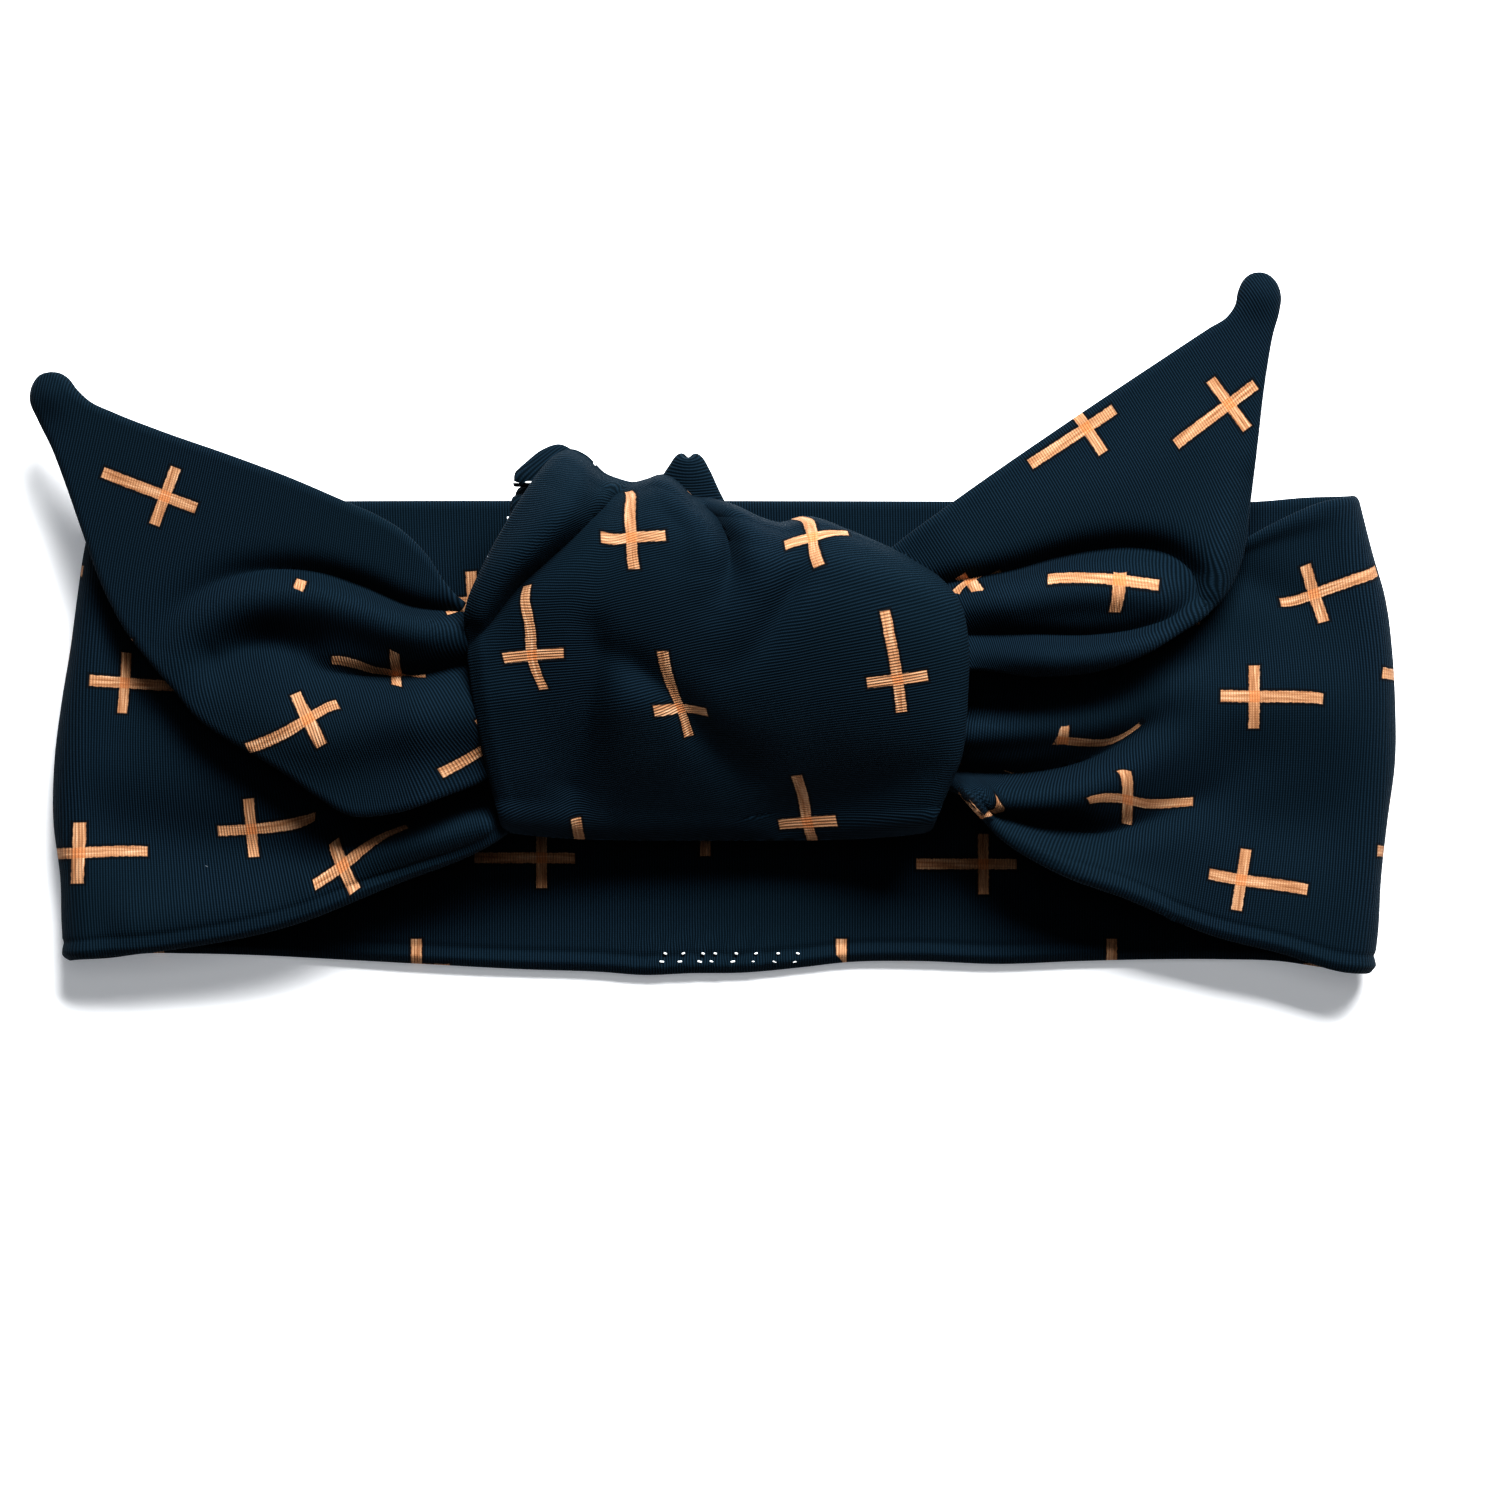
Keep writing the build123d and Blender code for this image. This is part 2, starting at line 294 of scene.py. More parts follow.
def pleats(x, y, lines):
    """Height that soft folds add at (x, y).

    A fold is a line of points (x, y, height, width), or with a width for its left side and one for its
    right."""
    total = np.zeros(np.broadcast(x, y).shape)
    for line in lines:
        line = [(*point[:4], point[-1]) for point in line]
        fine = along_path(line, np.linspace(0, 1, 8 * len(line)))
        nearest = np.full(total.shape, 1e9)
        rise = np.zeros(total.shape)
        for start, end in zip(fine[:-1], fine[1:]):
            run = end[:2] - start[:2]
            f = ((x - start[0]) * run[0] + (y - start[1]) * run[1]) / (run @ run)
            f = np.clip(f, 0, 1)
            off_x = x - start[0] - f * run[0]
            off_y = y - start[1] - f * run[1]
            distance = np.hypot(off_x, off_y)
            left = run[0] * off_y - run[1] * off_x > 0
            height = start[2] + f * (end[2] - start[2])
            width = np.where(left, start[3] + f * (end[3] - start[3]), start[4] + f * (end[4] - start[4]))
            here = height * np.exp(-((distance / width) ** 2))
            closer = distance < nearest
            rise = np.where(closer, here, rise)
            nearest = np.where(closer, distance, nearest)
        total += rise
    return total


def rib_place(places, flat, crosses):
    """Place of every point for the knit, which keeps its scale and turns gently from cross to cross."""
    turn = np.zeros(flat.shape)
    for x, y, heading, *_ in crosses:
        weight = 1 / ((places[..., 0] - x) ** 2 + (places[..., 1] - y) ** 2 + 300.0)
        turn[..., 0] += weight * math.cos(math.radians(heading))
        turn[..., 1] += weight * math.sin(math.radians(heading))
    turn /= np.linalg.norm(turn, axis=-1, keepdims=True)
    off = flat - flat.mean(axis=(0, 1))
    u = off[..., 0] * turn[..., 0] + off[..., 1] * turn[..., 1]
    v = off[..., 1] * turn[..., 0] - off[..., 0] * turn[..., 1]
    return np.stack([u, v], axis=-1)


def smooth_step(value, low, high):
    f = np.clip((value - low) / (high - low), 0, 1)
    return f * f * (3 - 2 * f)


def print_place(places, flat, crosses):
    """Place on the cloth of every point, in millimetres, from crosses whose place and heading are known.

    A cross is (x, y, heading in degrees, column, row), and where a fold drags its arms askew, the
    degrees they lean by. flat is the points' plan, let out by the cloth that the folds take up, so the
    print keeps its size across a fold."""
    total = np.zeros(flat.shape)
    weights = np.zeros(flat.shape[:-1])
    for x, y, heading, column, row, *lean in crosses:
        gap = np.hypot(places[..., 0] - x, places[..., 1] - y) - 0.05 * places[..., 2]
        nearest = np.unravel_index(np.argmin(gap), gap.shape)
        anchor = flat[nearest] + (np.array([x, y]) - places[nearest][:2])
        off = flat - anchor
        turn = math.radians(heading)
        arm_turn = turn + math.radians(sum(lean))
        u = (off[..., 0] * math.cos(arm_turn) + off[..., 1] * math.sin(arm_turn)) / math.cos(arm_turn - turn)
        v = (off[..., 1] * math.cos(turn) - off[..., 0] * math.sin(turn)) / math.cos(arm_turn - turn)
        weight = 1 / ((u - CROSS_MIDDLE) ** 2 + v**2 + 4.0) ** 3
        total[..., 0] += weight * (column * PRINT_COLUMN + u)
        total[..., 1] += weight * (row * PRINT_ROW + v)
        weights += weight
    return total / weights[..., None]


CROWDING = 0.8  # how much closer the points stand at a strip's two edges
SEAM_RIDGE = (1.5, 0.7)  # how far in from the edge the seam's ridge lies, and its width
SEAM_GROOVE = (3.2, 0.45)  # the same for the groove beside it


def jersey_tube(
    name,
    middle,
    rows,
    columns,
    thick,
    crosses,
    edge=1.6,
    seam=0.0,
    ends=("flat", "flat"),
    swallowed=(),
    still=0.5,
):
    """A length of the strip, as one closed mesh.

    middle(s, t) gives the middle surface in millimetres, with s along the strip and t from its lower
    edge to its upper one. thick is the thickness, or a function of s, t and the middle surface. seam is
    how far the sewn edge stands proud. An end is flat where it meets another length and round where
    the strip ends; ends is "ring" for a length that closes on itself. The UV map "cloth" places the
    print, and "ribs", which bends more gently, the knit. swallowed holds the (x, y, radius) of places
    where a fold takes in the cloth with the print on it. still is the share of the width at which the
    plan is not let out."""
    share = np.linspace(0, 1, rows + 1)
    q = np.linspace(0, 1, columns + 1)
    t = q - CROWDING * np.sin(math.tau * q) / math.tau
    grid_s, grid_t = np.meshgrid(share, t, indexing="ij")
    surface = middle(grid_s, grid_t)
    steps = np.linalg.norm(np.diff(surface, axis=1), axis=2)
    from_low = np.concatenate([np.zeros((rows + 1, 1)), np.cumsum(steps, axis=1)], axis=1)
    from_edge = np.minimum(from_low, from_low[:, -1:] - from_low)
    if ends == "ring":
        around = np.concatenate([surface[-2:-1], surface, surface[1:2]])
        forward = np.gradient(around, axis=0)[1:-1]
    else:
        forward = np.gradient(surface, axis=0)
    normal = np.cross(forward, np.gradient(surface, axis=1))
    normal /= np.linalg.norm(normal, axis=2, keepdims=True) + 1e-12
    if ends != "ring" and normal[..., 2].mean() < 0:
        normal = -normal
    closed = ends != "ring"  # its two ends are closed off
    width = thick(grid_s, grid_t, surface) if callable(thick) else np.full(grid_s.shape, thick)
    half = width / 2 * np.sqrt(np.clip(1 - (1 - np.clip(from_edge / edge, 0, 1)) ** 2, 0, 1))
    if seam:
        half += seam * np.exp(-(((from_low - SEAM_RIDGE[0]) / SEAM_RIDGE[1]) ** 2))
        half -= 0.8 * seam * np.exp(-(((from_low - SEAM_GROOVE[0]) / SEAM_GROOVE[1]) ** 2))
    lengths = np.linalg.norm(np.diff(surface, axis=0), axis=2).mean(axis=1)
    from_start = np.concatenate([[0.0], np.cumsum(lengths)])
    for end, distance in zip(ends, (from_start, from_start[-1] - from_start)):
        if end == "round":
            half *= np.sqrt(1 - (1 - np.clip(distance / edge, 0, 1)) ** 2)[:, None]

    upper = surface + normal * half[..., None]
    lower = surface - normal * half[..., None]
    ring = np.concatenate([upper, lower[:, -2::-1]], axis=1)
    if closed:
        first = np.concatenate([surface[:1], surface[:1, -2::-1]], axis=1)
        last = np.concatenate([surface[-1:], surface[-1:, -2::-1]], axis=1)
        ring = np.concatenate([first, ring, last], axis=0)

    # The plan let out by the folds.
    plan_steps = np.linalg.norm(np.diff(surface[..., :2], axis=1), axis=2)
    spare = np.concatenate([np.zeros((rows + 1, 1)), np.cumsum(steps - plan_steps, axis=1)], axis=1)
    held_column = round(still * columns)
    spare -= spare[:, held_column : held_column + 1]
    towards = surface[:, -1, :2] - surface[:, 0, :2]
    towards = towards.mean(axis=0) / np.linalg.norm(towards.mean(axis=0))
    flat = surface[..., :2] + spare[..., None] * towards
    if ends == "ring":
        arc = np.linalg.norm(np.diff(surface, axis=0), axis=2)
        arc = np.concatenate([np.zeros((1, columns + 1)), np.cumsum(arc, axis=0)], axis=0)
        flat[..., 1] = surface[rows // 2, :, 1] + arc[rows // 2] - arc
    elif ends == ("flat", "flat"):
        # A side fold turns the strip on edge, so its plan is let out along the strip as well.
        long_steps = np.diff(surface, axis=0)
        long_spare = np.linalg.norm(long_steps, axis=2) - np.abs(long_steps[..., 0])
        long_spare *= np.abs(long_steps[..., 2]) > np.abs(long_steps[..., 0])
        long_spare = np.concatenate([np.zeros((1, columns + 1)), np.cumsum(long_spare, axis=0)], axis=0)
        flat[..., 0] += (long_spare - long_spare[rows // 2]) * np.sign(surface[-1, 0, 0] - surface[0, 0, 0])
    maps = {}
    for map_name, placed in (("cloth", print_place), ("ribs", rib_place)):
        upper_map = placed(surface, flat, crosses)
        lower_map = upper_map.copy()
        lower_map[..., 1] = 2 * upper_map[:, -1:, 1] - upper_map[..., 1]
        whole = np.concatenate([upper_map, lower_map[:, -2::-1]], axis=1)
        if closed:
            whole = np.concatenate([whole[:1], whole, whole[-1:]], axis=0)
        maps[map_name] = whole

    sheet = bmesh.new()
    bmesh.ops.create_grid(sheet, x_segments=ring.shape[0] - 1, y_segments=ring.shape[1] - 1, size=1.0)
    sheet.verts.ensure_lookup_table()
    layers = [(sheet.loops.layers.uv.new(map_name), whole) for map_name, whole in maps.items()]
    high_row, high_column = ring.shape[0] - 1, ring.shape[1] - 1
    spot = {}
    for vert in sheet.verts:
        i = round((vert.co.x + 1) / 2 * high_row)
        j = round((vert.co.y + 1) / 2 * high_column)
        spot[vert.index] = (i, j)
        vert.co = ring[i, j] * MM
    for face in sheet.faces:
        for corner in face.loops:
            for layer, whole in layers:
                corner[layer].uv = whole[spot[corner.vert.index]] * MM
    hidden = sheet.verts.layers.float.new("hidden")
    for vert in sheet.verts:
        for x, y, radius in swallowed:
            inside = radius - math.hypot(vert.co.x / MM - x, vert.co.y / MM - y)
            vert[hidden] = max(vert[hidden], min(1.0, max(0.0, 0.5 + 0.5 * inside)))
    bmesh.ops.remove_doubles(sheet, verts=sheet.verts, dist=1e-6)
    bmesh.ops.recalc_face_normals(sheet, faces=sheet.faces)
    return finished(name, sheet, jersey)


SHARP = math.radians(65)  # faces that meet more sharply show an edge


def finished(name, shape, material):
    """Turn a bmesh into a piece with its material."""
    mesh = bpy.data.meshes.new(name)
    shape.to_mesh(mesh)
    shape.free()
    mesh.materials.append(material)
    mesh.shade_smooth()
    mesh.set_sharp_from_angle(angle=SHARP)
    piece = bpy.data.objects.new(name, mesh)
    bpy.context.collection.objects.link(piece)
    return piece


# ---------------------------------------------------------------- back of the band and side folds
# The length of the strip that goes behind the head. It lies on the table, and at each side it bends up
# into a soft fold. Its lower edge carries the seam, which pulls it into slight waves.
ply = node_box("back_lining_leaf")[1][2]
fold_top = node_box("left_fold_outer_leaf")[1][2]
half_width = -node_box("left_fold_outer_leaf")[0][0]
fold_middle = (fold_top - ply) / 2  # radius of a fold's middle surface
bend_x = half_width - fold_top / 2  # where a fold's bend starts
INSET_REACH = (60, 112)  # from the middle, where the side folds start to pull the strip in, and fully do
STRIP_THICK = 2.0

left_fold_line = (
    (-41, 3.0), (-38, 1.4), (-34, 1.0), (-25, 0.7), (-15, -0.5), (-5, -0.3), (5.5, 1.0), (14, 2.4), (23, 3.6),
    (30, 4.6), (41, 7.0),
)
right_fold_line = (
    (-42, 3.7), (-34, 2.7), (-25, 2.2), (-15, 1.1), (-5, -0.2), (5.5, -0.2), (14, 0.3), (23, 1.5), (30, 3.5),
    (41, 6.3),
)
back_edge = (
    (-115, -39.2), (-108, -38.9), (-101, -38.1), (-93, -38.1), (-81, -38.4), (-67, -39.1), (-52, -39.9),
    (-35, -40.8), (-21, -41.3), (-14, -41.8), (-6, -41.5), (3, -41.4), (13, -40.5), (21, -39.6), (33, -39.4),
    (47, -39.9), (61, -39.4), (74, -39.1), (88, -39.1), (98, -39.4), (107, -40.6), (115, -41.5),
)
back_top = ((-115, 39.4), (-60, 39.8), (0, 39.8), (60, 39.7), (98, 39.8), (106, 40.4), (115, 40.6))


def fold_inset(side, x, y):
    """How far a side fold pulls the strip in at (x, y), from its straight line at half_width."""
    inset = along_x(left_fold_line if side < 0 else right_fold_line, y)
    return inset * smooth_step(side * x, *INSET_REACH)


def back_middle(s, t):
    straight = 2 * bend_x
    quarter = fold_middle * math.pi / 2
    length = straight + 2 * quarter
    place = s * length
    left_turn = np.clip((quarter - place) / fold_middle, 0, math.pi / 2)
    right_turn = np.clip((place - quarter - straight) / fold_middle, 0, math.pi / 2)
    x = np.clip(place - quarter, 0, straight) - bend_x
    x = x - fold_middle * np.sin(left_turn) + fold_middle * np.sin(right_turn)
    z = ply / 2 + fold_middle * (1 - np.cos(left_turn)) + fold_middle * (1 - np.cos(right_turn))
    low = along_x(back_edge, x)
    high = along_x(back_top, x)
    y = low + (high - low) * t
    x = x + fold_inset(-1, x, y) - fold_inset(1, x, y)
    wave = 0.5 + 0.5 * np.sin(x / 9.5 + y / 14) * np.cos(x / 23 - y / 7)
    z = z + 0.5 * wave * (1 - smooth_step(np.abs(x), 95, 110))
    pucker = np.exp(-(((y + 38) / 3.5) ** 2)) * np.exp(-(((x + 3) / 16) ** 2))
    z = z + pucker * (0.3 + 0.25 * np.sin(x * 1.9) * np.cos(x * 0.7 + y))
    return np.stack([x, y, z], axis=-1)


back_crosses = (
    (66.5, -40.8, 180, 0, 0.0),
    (44.4, -22.7, 180, 1, -0.5),
    (20.0, -40.8, 180, 2, 0.0),
    (-3.4, -16.1, 180, 3, -0.5),
    (-31.6, -21.6, 180, 4, 0.0),
    (-53.1, -40.8, 180, 5, 0.5),
    (-43.4, 22.4, 184, 5, -1.5),
)
back_swallowed = ((18, 36, 12), (-30, 38, 12), (-61, 40, 5), (15.5, -42.6, 5.5), (10.5, -42.4, 4.6))
back = jersey_tube(
    "band_back",
    back_middle,
    rows=270,
    columns=92,
    thick=STRIP_THICK,
    crosses=back_crosses,
    seam=0.35,
    swallowed=back_swallowed,
)
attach(back, "band")
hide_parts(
    "back_outer_leaf",
    "back_lining_leaf",
    "left_fold_outer_leaf",
    "left_fold_lining_leaf",
    "right_fold_outer_leaf",
    "right_fold_lining_leaf",
    "lower_seam_allowance",
)

# ---------------------------------------------------------------- gathered fronts
# From each side fold the strip runs to the knot. It is pulled together into pleats, which fan out from
# the knot's side and die away towards the fold. The seam shows as a double ridge along the lower edge.
knot_low, knot_high = node_box("knot_wrap_outer_leaf")
knot_low_x, knot_high_x = knot_low[0], knot_high[0]
ENTRY = 9.0  # how far the pleats run in under the wrap

front_outlines = {
    "left": {
        "low": (
            (-115, -39.2), (-111, -38.8), (-95, -37.2), (-74.5, -33.2), (-55.5, -25.8), (-42, -20.4),
            (-32, -14),
        ),
        "high": ((-115, 39.4), (-108, 38), (-96, 35), (-78, 29), (-60, 22), (-44, 14), (-32, 10)),
    },
    "right": {
        "low": (
            (115, -41.5), (110, -41.2), (98, -38), (84, -34.7), (69, -28.7), (56, -23.6), (46.5, -17.6),
            (38.5, -9.5), (30, -6),
        ),
        "high": ((115, 40.6), (108, 39.4), (100, 36.6), (87, 31), (72, 25), (56, 19), (44, 15), (30, 12)),
    },
}
# Ridges are positive and valleys negative; the two widths make one side of a fold steeper.
front_pleats = {
    "left": (
        ((-41, -16, 2.6, 2.6), (-56, -20, 2.4, 3), (-70, -26, 1.0, 4)),
        ((-40, -10, -4.5, 2.2), (-52, -14, -4.0, 2.6), (-66, -14.5, -2.4, 3), (-76, -8, -0.8, 4)),
        ((-40, 0, 2.5, 4), (-56, 0, 2.0, 5), (-72, 4, 0.6, 7)),
        ((-40, 7, -2.5, 2), (-60, 10, -1.5, 3)),
        ((-108, 22, -0.8, 5), (-101, 10, -1.2, 5), (-104, 0, -0.7, 5)),
        ((-74, -20, -1.0, 5), (-90, -19, -2.0, 7), (-108, -16, -1.6, 8)),
        ((-60, -29, 1.0, 3.5), (-80, -31, 1.6, 5), (-100, -33, 1.4, 5)),
    ),
    "right": (
        ((38, 5.4, -1.6, 1.9), (49, 6.4, -1.4, 2.2), (58, 7.4, -1.0, 2.5), (67, 9.0, -0.4, 3)),
        ((38, -0.4, 2.6, 2.4, 2.3), (54, 0.8, 2.4, 2.8, 2.6), (66, 2.8, 1.8, 3.2, 3), (78, 8, 0.8, 4)),
        (
            (38, -6.8, -3.6, 2.1, 1.8), (52, -7.0, -3.3, 2.4, 2.0), (62, -4.9, -2.7, 2.7, 2.2),
            (69.6, -0.4, -1.5, 3.0, 2.7), (74, 4, -0.5, 3.4),
        ),
        (
            (38, -10.2, 2.8, 2.0), (52, -11.8, 2.8, 2.4), (63, -9.4, 2.2, 3.0), (74, -3.6, 1.4, 4),
            (86, 3, 0.5, 5),
        ),
        (
            (46, -14.4, -2.0, 1.8), (56.5, -16.6, -3.4, 2.6, 2.2), (64, -17.3, -3.1, 2.9, 2.4),
            (72, -15.2, -2.2, 3.3, 2.9), (82, -10.5, -1.1, 4, 3.6), (90, -6, -0.4, 4.4),
        ),
        ((42, -13, 2.2, 1.8), (52, -19.2, 2.4, 2.4, 2.0), (62, -24.6, 2.0, 3, 2.6), (73, -30, 1.0, 4, 3)),
        ((86, 27, -1.3, 4), (97, 22.5, -0.8, 4)),
        ((88, 33, 1.2, 2.5, 1.6), (100, 37, 0.8, 2.5, 2), (109, 39, 0.3, 2)),
        ((78, 6, 1.0, 5), (95, 6, 1.8, 8), (111, 5, 1.2, 9)),
        ((84, -14, -0.8, 5), (100, -16, -1.4, 8), (112, -14, -0.8, 8)),
    ),
}


def front_middle(hand):
    side = -1 if hand == "left" else 1
    outline = front_outlines[hand]
    knot_x = knot_low_x + ENTRY if side < 0 else knot_high_x - ENTRY

    def middle(s, t):
        quarter = fold_middle * math.pi / 2
        run = bend_x - abs(knot_x)
        place = s * (quarter + run)
        turn = np.clip(place / fold_middle, 0, math.pi / 2)
        from_centre = bend_x - np.clip(place - quarter, 0, run) + fold_middle * np.cos(turn)
        x = side * from_centre
        z = fold_top / 2 + fold_middle * np.sin(turn)
        low = along_x(outline["low"], x)
        high = along_x(outline["high"], x)
        y = low + (high - low) * t
        x = x - side * fold_inset(side, x, y)
        climb = smooth_step(-from_centre, -bend_x, -abs(knot_x) - 4)
        z = z + 4.2 * climb + 0.8 * climb * np.sin(math.pi * t)
        z = z + 1.2 * pleats(x, y, front_pleats[hand]) * smooth_step(-from_centre, -half_width, -bend_x + 6)
        return np.stack([x, y, z], axis=-1)

    return middle


front_swallowed = {
    "left": (),
    "right": (
        (51.4, 1.6, 5.6), (45.0, 0, 7), (50.5, -17.4, 4.6), (45.6, -17.4, 3.0), (42.0, -15.6, 1.5), (50, 8, 5),
        (57.5, 4.0, 3.0), (57.5, -5.4, 3.2), (62, 12, 9), (76, 11, 8),
    ),
}
front_crosses = {
    "left": (
        (-102.8, 8.4, -4, 0, 1.0),
        (-110.4, -20.7, 0, 0, 0.0),
        (-80.8, -16.4, 5, 1, 0.5),
        (-64.9, -23.0, 20, 2, 0.0),
        (-119.0, 29.0, -8, -1, 1.5),
    ),
    "right": (
        (68.4, -11.1, 1.5, 3, 0.5),
        (90.2, 6.0, -1, 4, 1.0),
        (88.1, -25.3, -9, 4, 0.0),
        (100.8, 23.6, 18, 4, 2.0),
        (114.6, -20.5, -2, 5, 0.5),
        (114.9, 9.6, -4, 5, 1.5),
        (57.4, -0.9, -2, 3, 1.5),
        (43.0, -14.5, -35, 2, 0.0),
        (50.4, 19.4, 0, 2, 1.0),
        (69.2, -35.6, -12, 3, -0.5),
    ),
}
for hand, side in (("left", -1), ("right", 1)):
    front = jersey_tube(
        f"{hand}_front",
        front_middle(hand),
        rows=150,
        columns=110,
        thick=1.9,
        crosses=front_crosses[hand],
        seam=0.28,
        swallowed=front_swallowed[hand],
    )
    side * half_width * MM
    (knot_low_x if side < 0 else knot_high_x) * MM
    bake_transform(front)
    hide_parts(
        f"{hand}_front_outer_leaf",
        f"{hand}_front_lining_leaf",
        f"{hand}_front_seam_allowance",
    )

# ---------------------------------------------------------------- the knot's wrap
# The wide turn of the strip that goes round both strands. Its two edges bulge out to the sides, and it
# is creased by the pull of the knot: a lobe at the upper left, a notch beside it and soft hollows below.
KNOT_TOP = knot_high[2]
KNOT_UNDER = knot_low[2]
wrap_crown = (
    (-33, 34.0), (-31, 40.0), (-29.0, 44.6), (-26.6, 46.9), (-24.2, 46.2), (-21, 43.2), (-18.2, 42.0),
    (-15.4, 41.4), (-12.8, 42.0), (-10.4, 42.7), (-8.2, 41.4), (-6.2, 39.4), (-2.6, 38.7), (1.3, 37.6),
    (6, 35.4), (9, 34.6), (13.8, 35.6), (19.7, 33.6), (27.2, 30.2), (33.3, 26.4),
)
# The two edges' x, by the angle round the wrap from its crown (0) over its top (90) to its foot (180).
wrap_left = (
    (0, -31.5), (25, -34.5), (38, -36.8), (60, -41.2), (74, -43.7), (93, -43.2), (112, -41.9), (129, -40.5),
    (147, -39.1), (180, -38),
)
wrap_right = (
    (0, 33), (25, 37), (45, 40), (67, 41.2), (90, 41.1), (115, 40.2), (134, 38), (160, 36), (180, 35.5)
)
# How far the wrap's top lies below the knot's highest point, from its foot (-1) to its crown (1), in the
# middle and at the two edges, and how far its underside lies above the knot's lowest.
wrap_drop = (
    (-1, 25.4), (-0.96, 23.9), (-0.82, 20.5), (-0.56, 14.7), (-0.2, 7.0), (0.16, 2.4), (0.55, 0.9), (0.78, 2.4),
    (0.92, 6.0), (0.98, 9.5), (1, 13.0),
)
wrap_edge_drop = (
    (-1, 19.5), (-0.96, 17.0), (-0.8, 14.6), (-0.5, 11.0), (0, 8.4), (0.5, 7.4), (0.8, 8.8), (0.94, 11.5), (1, 14.5)
)
wrap_lift = ((-1, 1.6), (-0.92, 1.2), (-0.6, 1.3), (0.4, 1.4), (0.8, 3.0), (0.94, 7.0), (1, 13.5))
wrap_folds = (
    # the crease under the upper left lobe, and the lobe's crest
    (
        (-44, 13, -0.6, 1.6, 1.8), (-39.4, 18.8, -2.0, 1.3, 2.0), (-34.8, 24.5, -2.6, 1.4, 2.2),
        (-31.2, 27.7, -2.6, 1.4, 2.4), (-26.9, 31.5, -2.4, 1.5, 2.6), (-22.2, 35.8, -2.2, 1.5, 2.6),
        (-18, 40, -2.2, 1.5, 2.4), (-15.4, 42.4, -2.0, 1.5, 2.0),
    ),
    (
        (-42, 20.5, 1.2, 2.6, 1.7), (-37.2, 27, 1.9, 3.2, 1.8), (-33.2, 31, 2.2, 3.6, 1.9),
        (-29, 35, 2.2, 4.0, 2.0), (-25.4, 40, 1.9, 4.0, 2.2), (-23.6, 46, 1.2, 3.4, 2.4),
    ),
    # the notch and the small lobe beside it
    (
        (-10, 43.5, 1.0, 1.6, 1.8), (-7.9, 39.5, 1.7, 1.8, 2.2), (-5.0, 36, 1.5, 1.8, 2.6),
        (-3.2, 31.5, 0.9, 2.2, 3), (-3.4, 26, 0.4, 3),
    ),
    (
        (-6.6, 41.2, -1.4, 1.1, 1.2), (-3.8, 37.8, -2.6, 1.5, 1.4), (-0.8, 34.4, -3.0, 2.0, 1.6),
        (0.8, 29.6, -2.5, 2.4, 2.0), (0.2, 25, -1.4, 2.8, 2.6), (-1.6, 21, -0.5, 3),
    ),
    ((-2, 41, 0.8, 1.6), (3, 36.6, 1.3, 2.4, 2.0), (6, 31.5, 1.1, 3, 2.4), (6.4, 26, 0.6, 3)),
    (
        (15, 30.5, -0.6, 2.4), (12, 25, -1.5, 2.4, 2.6), (8.8, 19.5, -1.5, 2.6, 2.8), (5.4, 14.5, -0.9, 3),
        (1, 11, -0.4, 3),
    ),
    # hollows and bulges lower down
    ((-22.0, 17, -1.0, 3.2), (-21.8, 11, -2.0, 3.4), (-23.0, 3, -2.3, 3.4), (-26, -8, -1.9, 4)),
    ((-15.5, 3.6, 1.6, 5.5), (-14.5, -3, 1.4, 6)),
    (
        (-21, 15.4, -0.6, 3), (-15, 11.4, -1.4, 3.0, 3.2), (-8.6, 6.2, -1.6, 3.2),
        (-3.6, 0.2, -1.9, 3.6, 3.4), (3, -6, -1.6, 4.4, 4),
    ),
    ((-36, 5, 1.0, 5), (-34, -6, 0.8, 5)),
    ((10, -13, -1.6, 5, 4), (24, -10, -1.4, 5, 4), (34, -7, -0.8, 4)),
)


def wrap_middle(s, t):
    angle = math.tau * s - math.pi / 2
    degrees = np.degrees(np.arccos(np.clip(np.sin(angle + math.pi / 2), -1, 1)))
    left = along_x(wrap_left, degrees)
    right = along_x(wrap_right, degrees)
    x = left + (right - left) * t
    inner = np.abs(2 * t - 1)
    crown = along_x(wrap_crown, -31.5 + 64.5 * t)
    foot = -17.6 + 1.6 * inner**4
    centre, reach = (crown + foot) / 2, (crown - foot) / 2
    up = np.sin(angle)
    out = np.cos(angle)
    y = centre + reach * np.sign(out) * np.abs(out) ** 0.94
    # The top of the section is steep towards its foot in the middle, and fuller at the two edges.
    over = KNOT_TOP - along_x(wrap_drop, out)
    over = over + (KNOT_TOP - along_x(wrap_edge_drop, out) - over) * inner**3
    beneath = KNOT_UNDER + along_x(wrap_lift, out)
    z = np.where(up > 0, over, beneath)
    z = z + 1.25 * pleats(x, y, wrap_folds) * smooth_step(up, 0.0, 0.35)
    # The strip's edges roll inwards over the strands.
    roll = smooth_step(inner, 0.93, 1.0)
    z = z - 1.6 * roll * np.clip(up, 0, 1)
    return np.stack([x, y, z], axis=-1)


